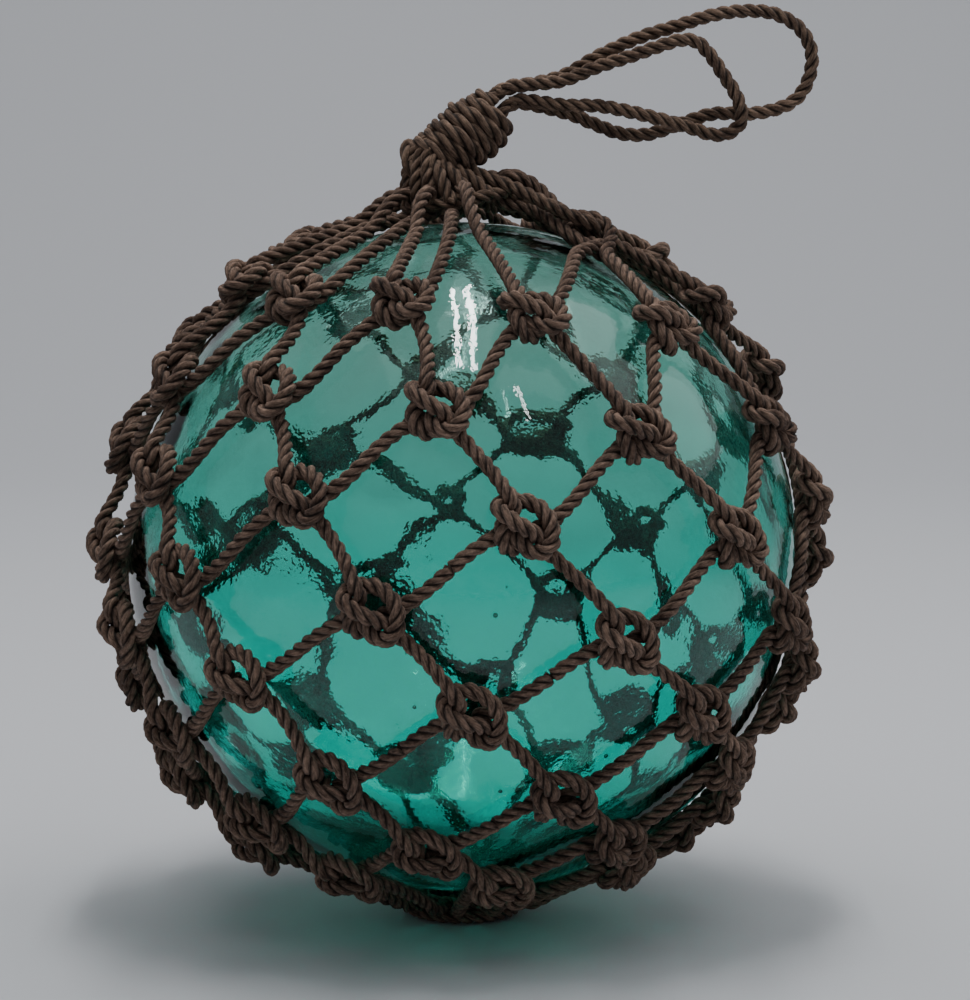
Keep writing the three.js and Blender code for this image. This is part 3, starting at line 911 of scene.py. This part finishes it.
def gather_runs():
    """The ring and all the risers, each laid as rope."""
    ring_line = np.array([gather_place(a) for a in np.arange(0, 360, 12)])
    runs = [lay_rope(even_steps(smooth_line(ring_line, True), cord_step, True)[0], True)]
    for azimuth, bow, share in risers:
        line, _ = even_steps(smooth_line(riser(azimuth, bow * MM, share)), cord_step)
        runs.append(lay_rope(line, start_turn=azimuth, thickness=cord_thickness))
    return runs


def off_the_glass(point, least):
    """The point itself, or pushed straight out until it is at least that far off the glass."""
    from_centre = point - ball_centre
    return ball_centre + unit(from_centre) * max(np.linalg.norm(from_centre), ball_radius + least)


def long_bight():
    """Down from under the neck's lower right side, round the far hook and back to the ring."""
    places, headings = neck_line([0.28, 0.6])
    low, back = across_neck(headings)
    head = places[0] + low[0] * 11 * MM - back[0] * 5 * MM
    inside = places[1] + low[1] * 3 * MM
    out = unit(long_hook - ball_centre)
    toward = unit((head - long_hook) - out * ((head - long_hook) @ out))
    aside = np.cross(out, toward)
    nose = [long_hook + rope * (a * aside + t * toward + o * out) for a, t, o in (
        (1.0, 1.0, 0.8), (0.8, -0.4, 0.75), (0.0, -1.0, 0.6), (-0.8, -0.4, 0.45),
        (-0.9, 1.2, 0.35))]
    ring_end = gather_place(75)
    middle = off_the_glass((head + nose[0]) / 2, 12 * MM)
    low_point = off_the_glass((nose[-1] + ring_end) / 2, 8 * MM)
    return np.vstack([inside, head, middle, nose, low_point, ring_end])


runs = gather_runs()
runs.append(lay_rope(even_steps(smooth_line(long_bight()), cord_step)[0], start_turn=0.7,
                     thickness=cord_thickness))
gather = rope_piece("gathering_cord", runs, cord_rope_finish, ["gather_cord"])

# %% [markdown]
# ## The binding
#
# Six turns of the same rope are wound tight round the neck. A helix about the neck's middle line
# makes them all at once, slack by half a millimetre here and there as in the real one. The strands
# of the loops run on inside it.

# %% Binding turns and the strands inside
binding_turns = 6.2
binding_slope = math.radians(49)
binding_thickness = 1.08
tucked_from = 0.95


def binding_line():
    """All turns lie in parallel planes. The loose tail curls out on the left before the first,
    and the other end is tucked in under the last."""
    share = np.linspace(0, 1.0, 900)
    turn = 2 * math.pi * binding_turns * share + math.pi
    place, _ = neck_line(share)
    low, back = across_neck(neck_heading(np.array([binding_slope])))
    widths = np.linspace(0, 1, len(neck_turn_radii))
    radius = np.interp(share, widths, neck_turn_radii) - cord_thickness * rope_radius
    radius = radius + 0.5 * MM * np.sin(2.3 * turn) + 0.4 * MM * np.sin(0.5 * turn)
    tuck = np.clip((share - tucked_from) / (1 - tucked_from), 0, 1)
    radius = radius * (1 - 0.5 * tuck**2)
    turns = (place + low * (radius * np.cos(turn))[:, None]
             + back * (radius * np.sin(turn))[:, None])
    tail = neck_start + np.array([[-2, -5, -9], [-6.5, -6, -7], [-10.4, -4.5, -3],
                                  [-11.6, -1.5, 2], [-10.8, 2, 5.6]]) * MM
    return np.vstack([smooth_line(np.vstack([tail, turns[:1]]))[:-1], turns])


def inner_strand(low_by, back_by, end):
    """Up the middle of the neck and a few steps on inside the loop that it belongs to. It is a
    little thinner than the loop, so that its end stays hidden."""
    place, along = neck_line(np.linspace(0.0, 0.9, 30))
    low, back = across_neck(along)
    line = np.vstack([place + low * low_by + back * back_by, end])
    return lay_rope(even_steps(smooth_line(line), 1.6 * MM)[0], thickness=0.98)


runs = [lay_rope(even_steps(binding_line(), 1.3 * MM)[0], thickness=binding_thickness,
                 lay=1.5 * lay_length)]
for loop, back_by in ((large_loop, spread), (small_loop, -spread)):
    runs += [inner_strand(-spread, back_by, loop[:3]), inner_strand(spread, back_by, loop[:-4:-1])]
binding = rope_piece("neck_binding_rope", runs, cord_rope_finish, ["neck_binding"])

# %% [markdown]
# ## The glass
#
# The ball is blown, so it is a hollow shell with a wavy skin, thicker in some places than in
# others. Two closed surfaces make it: the outer one faces out, and the inner one faces into the
# hollow, so that light bends at both. Small bubbles in the wall are hollows of the same kind.
# The waves are what break up the far side of the net as seen through the ball.

# %% Waves on a ball
def ball_grid(rows, columns):
    """Rings of points from pole to pole, and one point at each pole."""
    latitude = np.linspace(-math.pi / 2, math.pi / 2, rows + 2)[1:-1]
    longitude = np.linspace(0, 2 * math.pi, columns, endpoint=False)
    la, lo = np.meshgrid(latitude, longitude, indexing="ij")
    ring = np.stack([np.cos(la) * np.cos(lo), np.cos(la) * np.sin(lo), np.sin(la)], -1)
    points = np.vstack([ring.reshape(-1, 3), [[0, 0, -1.0]], [[0, 0, 1.0]]])
    i, j = np.arange(rows - 1)[:, None], np.arange(columns)[None, :]
    k = (j + 1) % columns
    quads = np.stack([i * columns + j, i * columns + k, (i + 1) * columns + k,
                      (i + 1) * columns + j], -1).reshape(-1, 4)
    j, k = np.arange(columns), (np.arange(columns) + 1) % columns
    low, high = rows * columns, rows * columns + 1
    top = (rows - 1) * columns
    tips = np.concatenate([np.stack([k, j, np.full(columns, low)], 1),
                           np.stack([top + j, top + k, np.full(columns, high)], 1)])
    return points, quads, tips


def waves(directions, count, finest, coarsest, seed):
    """A sum of plane waves in all directions, each with its own length and start, scaled so
    that the usual height is one."""
    chance = np.random.default_rng(seed)
    heading = unit(chance.normal(size=(count, 3)))
    length = chance.uniform(finest, coarsest, count)
    start = chance.uniform(0, 2 * math.pi, count)
    strength = length / coarsest
    waving = np.sin(directions @ (heading / length[:, None]).T * 2 * math.pi * ball_radius + start)
    return (waving * strength).sum(1) / math.sqrt((strength**2).sum() / 2)


# %% The shell and its bubbles
outer_rings, inner_rings = 158, 146
skin_below_ball = 0.55 * MM
seam_at = -0.10
seam_width = 0.006
seam_height = 0.18 * MM
wall_thickness = 5.2 * MM
bubbles_under_skin = 2.9 * MM


def glass_shell():
    """Each surface is the ball's radius plus fine and broad waves. The outer one also has a
    faint raised seam round it, a little below the middle, where the height is a bell curve."""
    outer, quads, tips = ball_grid(outer_rings, 2 * outer_rings)
    height = 0.045 * MM * waves(outer, 60, 14 * MM, 34 * MM, 3)
    height = height + 0.14 * MM * waves(outer, 40, 40 * MM, 110 * MM, 4) - skin_below_ball
    seam = np.exp(-((outer[:, 2] - seam_at) / seam_width) ** 2)
    outer_points = ball_centre + outer * (ball_radius + height + seam_height * seam)[:, None]
    inner, inner_quads, inner_tips = ball_grid(inner_rings, 2 * inner_rings)
    wall = wall_thickness + 0.12 * MM * waves(inner, 60, 16 * MM, 40 * MM, 5)
    wall = wall + 0.55 * MM * waves(inner, 30, 60 * MM, 150 * MM, 6)
    inner_points = ball_centre + inner * (ball_radius - wall)[:, None]
    count = len(outer_points)
    faces = [quads, inner_quads[:, ::-1] + count], [tips, inner_tips[:, ::-1] + count]
    return np.vstack([outer_points, inner_points]), [np.concatenate(f) for f in faces]


def bubbles(how_many, seed):
    """Small round hollows inside the wall. Each is a coarse ball with its faces turned in. The
    first one is put where it shows best, in an open mesh at the front."""
    chance = np.random.default_rng(seed)
    ball, quads, tips = ball_grid(5, 8)
    spots = unit(chance.normal(size=(how_many, 3)))
    spots[0] = unit(np.array([0.095, -0.99, -0.02]))
    size = chance.uniform(0.35, 1.1, how_many) * MM
    place = ball_centre + spots * (ball_radius - bubbles_under_skin)
    points = place[:, None] + ball[None] * size[:, None, None]
    shift = (np.arange(how_many) * len(ball))[:, None, None]
    return points.reshape(-1, 3), [(quads[None, :, ::-1] + shift).reshape(-1, 4),
                                   (tips[None, :, ::-1] + shift).reshape(-1, 3)]


# %% [markdown]
# ### The look of the glass
#
# Clear green glass: all its light passes through or is mirrored, by plain numbers on the shader.
# The green comes from the tint that the light takes on at each surface that it crosses, four of
# them on the way through the ball. The tint is deeper at the foot and paler toward the seal, which
# is painted light: the paler top stands in for light reflected on the upper half, and the deeper
# foot for the green light that the ball throws on the floor under it.

# %% Glass finish
# Painted light: the tint is deepest at the foot and pales upward, in place of the light reflected
# on the upper half and the green light under the ball.
painted_foot_tint = (0.0, (0.05, 0.75, 0.64, 1))
painted_upper_tints = ((0.32, (0.08, 0.76, 0.66, 1)), (0.55, (0.25, 0.78, 0.68, 1)),
                (0.85, (0.52, 0.82, 0.73, 1)))
glass_finish, nodes, links, shader = new_finish("glass")
shader.inputs["Transmission Weight"].default_value = 1.0
shader.inputs["Roughness"].default_value = 0.02
shader.inputs["IOR"].default_value = 1.5
place = add_node(nodes, "ShaderNodeTexCoord")
height = add_node(nodes, "ShaderNodeSeparateXYZ")
links.new(place.outputs["Object"], height.inputs["Vector"])
up_the_ball = add_node(nodes, "ShaderNodeMapRange")
up_the_ball.inputs["From Min"].default_value = stand_height
up_the_ball.inputs["From Max"].default_value = top_of_ball
links.new(height.outputs["Z"], up_the_ball.inputs["Value"])
tint = add_node(nodes, "ShaderNodeValToRGB")
stops = tint.color_ramp.elements
stops.remove(stops[1])
stops[0].position, stops[0].color = painted_foot_tint
for share, shade in painted_upper_tints:
    stops.new(share).color = shade
links.new(up_the_ball.outputs["Result"], tint.inputs["Fac"])
links.new(tint.outputs["Color"], shader.inputs["Base Color"])
ripple = add_node(nodes, "ShaderNodeTexNoise", Scale=420.0, Detail=1.0, Roughness=0.5)
links.new(place.outputs["Object"], ripple.inputs["Vector"])
bump = add_node(nodes, "ShaderNodeBump", Strength=0.34, Distance=0.0001)
links.new(ripple.outputs["Fac"], bump.inputs["Height"])
links.new(bump.outputs["Normal"], shader.inputs["Normal"])

points, faces = glass_shell()
bubble_points, bubble_faces = bubbles(46, 8)
faces = [np.concatenate([faces[0], bubble_faces[0] + len(points)]),
         np.concatenate([faces[1], bubble_faces[1] + len(points)])]
glass = mesh_piece("glass_float", np.vstack([points, bubble_points]), faces, {}, glass_finish)
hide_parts("glass_ball")

# %% [markdown]
# ## Floor, backdrop and light
#
# A plain pale sweep, a wide soft canopy and two narrow strips above, a wide light at the right,
# two small ones in front, one on the backdrop and a dim surround. What the glass shows is what
# stands behind it, so the backdrop needs light of its own. That and the canopy stay out of the
# reflections, which would lie on the glass as pale patches. The light at the right is a soft veil
# there, and the narrow lights are what glints.

# %% Stage
def sweep():
    """A floor that turns up into a wall far behind, as one curved sheet."""
    x = np.linspace(-4, 4, 9)
    angle = np.linspace(0, math.pi / 2, 13)
    depth = np.concatenate([[-3.0, 0.0, 1.2], 1.6 + 1.4 * np.sin(angle), [3.0]])
    up = np.concatenate([[0.0, 0.0, 0.0], 1.4 - 1.4 * np.cos(angle), [4.0]])
    xx, dd = np.meshgrid(x, depth, indexing="ij")
    uu = np.broadcast_to(up, xx.shape)
    points = np.stack([xx, dd, uu], -1).reshape(-1, 3)
    n, m = xx.shape
    i, j = np.arange(n - 1)[:, None], np.arange(m - 1)[None, :]
    quads = np.stack([i * m + j, (i + 1) * m + j, (i + 1) * m + j + 1, i * m + j + 1], -1)
    return points, [quads.reshape(-1, 4)]


paper, nodes, links, shader = new_finish("pale_paper")
shader.inputs["Base Color"].default_value = colour(214, 216, 220)
shader.inputs["Roughness"].default_value = 0.7
points, faces = sweep()
mesh = bpy.data.meshes.new("sweep")
mesh.from_pydata(points.tolist(), [], faces[0].tolist())
mesh.polygons.foreach_set("use_smooth", np.ones(len(mesh.polygons), bool))
mesh.materials.append(paper)
floor = bpy.data.objects.new("sweep", mesh)
bpy.context.scene.collection.objects.link(floor)
floor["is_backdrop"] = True


# %% Lights
def soft_light(name, place, aim, width, length, watts):
    """A glowing rectangle at a place, turned so that it faces the point it aims at."""
    data = bpy.data.lights.new(name, "AREA")
    data.shape = "RECTANGLE"
    data.size = width
    data.size_y = length
    data.energy = watts
    lamp = bpy.data.objects.new(name, data)
    lamp.location = place
    gap = np.array(aim) - np.array(place)
    level = math.hypot(gap[0], gap[1])
    heading = math.pi + math.atan2(gap[0], -gap[1]) if level > 1e-6 else 0
    lamp.rotation_euler = (math.atan2(level, -gap[2]), 0, heading)
    bpy.context.scene.collection.objects.link(lamp)
    return lamp


canopy = soft_light("canopy", (0.0, 0.2, 2.4), (0.0, 0.2, 0.0), 2.6, 2.2, 15)
soft_light("side_right", (1.5, 0.4, 1.5), (0.0, 0.0, 0.2), 1.3, 1.7, 6)
soft_light("strip_left", (-0.03, 0.0, 1.9), (-0.03, 0.0, 0.0), 0.03, 1.1, 6)
soft_light("strip_right", (0.07, 0.0, 1.9), (0.07, 0.0, 0.0), 0.03, 1.1, 6)
soft_light("front_left", (-0.5, -0.95, 1.7), (0.0, 0.0, 0.2), 0.04, 0.5, 1.2)
soft_light("front_right", (0.55, -0.85, 1.7), (0.0, 0.0, 0.2), 0.04, 0.4, 1)
backdrop = soft_light("backdrop", (0.0, 0.7, 2.2), (0.0, 2.2, 0.4), 2.4, 0.4, 13)
for lamp in (backdrop, canopy):
    lamp.visible_glossy = False
world = bpy.data.worlds.new("pale_room")
world.use_nodes = True
surround = world.node_tree.nodes["Background"]
surround.inputs["Color"].default_value = colour(226, 228, 234)
surround.inputs["Strength"].default_value = 0.27
bpy.context.scene.world = world

# %% [markdown]
# ## Check the size
#
# The shown model has to fill the imported model's box and hardly pass it, so both are written down.

# %% Size
low, high = (np.array(corner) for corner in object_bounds())
share = np.maximum(cad_low - low, high - cad_high) / (cad_high - cad_low)
print("past the packed box, share of each side:", np.round(share, 4))
